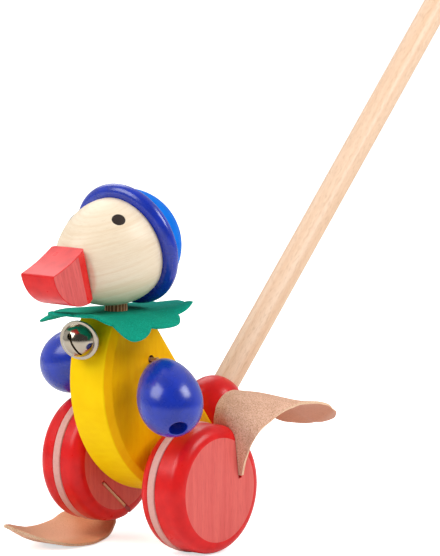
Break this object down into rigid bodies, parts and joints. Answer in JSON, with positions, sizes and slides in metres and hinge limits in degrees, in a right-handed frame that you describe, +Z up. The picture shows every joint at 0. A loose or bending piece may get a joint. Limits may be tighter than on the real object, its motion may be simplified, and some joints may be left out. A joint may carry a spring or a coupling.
{
  "type": "push-along duck toy",
  "caption": "Wooden push-along duck on a stick: half-disc body on off-centre wheels with leather feet that slap the floor, bead wings on a cord, felt collar and a jingle bell.",
  "frame": {"origin": "on the floor, under the middle of the toy's outline from beak tip to stick end", "axes": "+Z up, the duck faces -Y, +X towards the duck's left side"},
  "size_m": [0.1328, 0.4775, 0.4264],
  "materials": {
    "beech": "natural beech, oiled",
    "maple": "natural maple, clear satin lacquer",
    "red_wood": "beech with gloss red lacquer",
    "yellow_wood": "beech with satin yellow lacquer",
    "blue_wood": "beech with gloss dark blue lacquer",
    "sky_wood": "beech with gloss sky blue lacquer",
    "black_wood": "stained near black",
    "felt": "pressed wool felt",
    "leather": "split cowhide, suede outside",
    "rubber": "pale rubber band",
    "cord": "twisted cotton cord",
    "nickel": "nickel-plated sheet"
  },
  "bodies": {
    "duck": {"body_board": "yellow_wood", "push_stick": "beech", "tail_ball": "red_wood", "neck_dowel": "beech", "collar": "felt", "head": "maple", "eye_left": "black_wood", "eye_right": "black_wood", "beak": "red_wood", "beak_dowel": "beech", "cap_brim": "blue_wood", "cap_crown": "sky_wood", "cap_dowel": "beech", "bell_front_shell": "nickel", "bell_rear_shell": "nickel", "bell_shank": "nickel", "wing_cord_middle": "cord"},
    "wheelset": {"axle": "beech", "axle_spacer_left": "beech", "axle_spacer_right": "beech", "wheel_left": "red_wood", "wheel_right": "red_wood", "tyre_left": "rubber", "tyre_right": "rubber", "foot_left": "leather", "foot_right": "leather"},
    "wing_left": {"wing_left": "blue_wood", "wing_cord_left": "cord", "wing_knot_left": "cord"},
    "wing_right": {"wing_right": "blue_wood", "wing_cord_right": "cord", "wing_knot_right": "cord"},
    "pellet": {"bell_pellet": "nickel"}
  },
  "joints": [
    {"name": "wheelset_spin", "type": "hinge", "parent": "duck", "child": "wheelset", "pos_m": [0, -0.14807, 0.0412], "axis": [-1, 0, 0], "continuous": true, "deforming": ["foot_left", "foot_right"]},
    {"name": "wing_left_flap", "type": "hinge", "parent": "duck", "child": "wing_left", "pos_m": [0.0155, -0.16397, 0.107], "axis": [0, -1, 0], "range_deg": [0, 25]},
    {"name": "wing_right_flap", "type": "hinge", "parent": "duck", "child": "wing_right", "pos_m": [-0.0155, -0.16397, 0.107], "axis": [0, 1, 0], "range_deg": [0, 15]},
    {"name": "bell_pellet_slide", "type": "slide", "parent": "duck", "child": "pellet", "axis": [0, 0, 1], "range_m": [0, 0.009]}
  ]
}
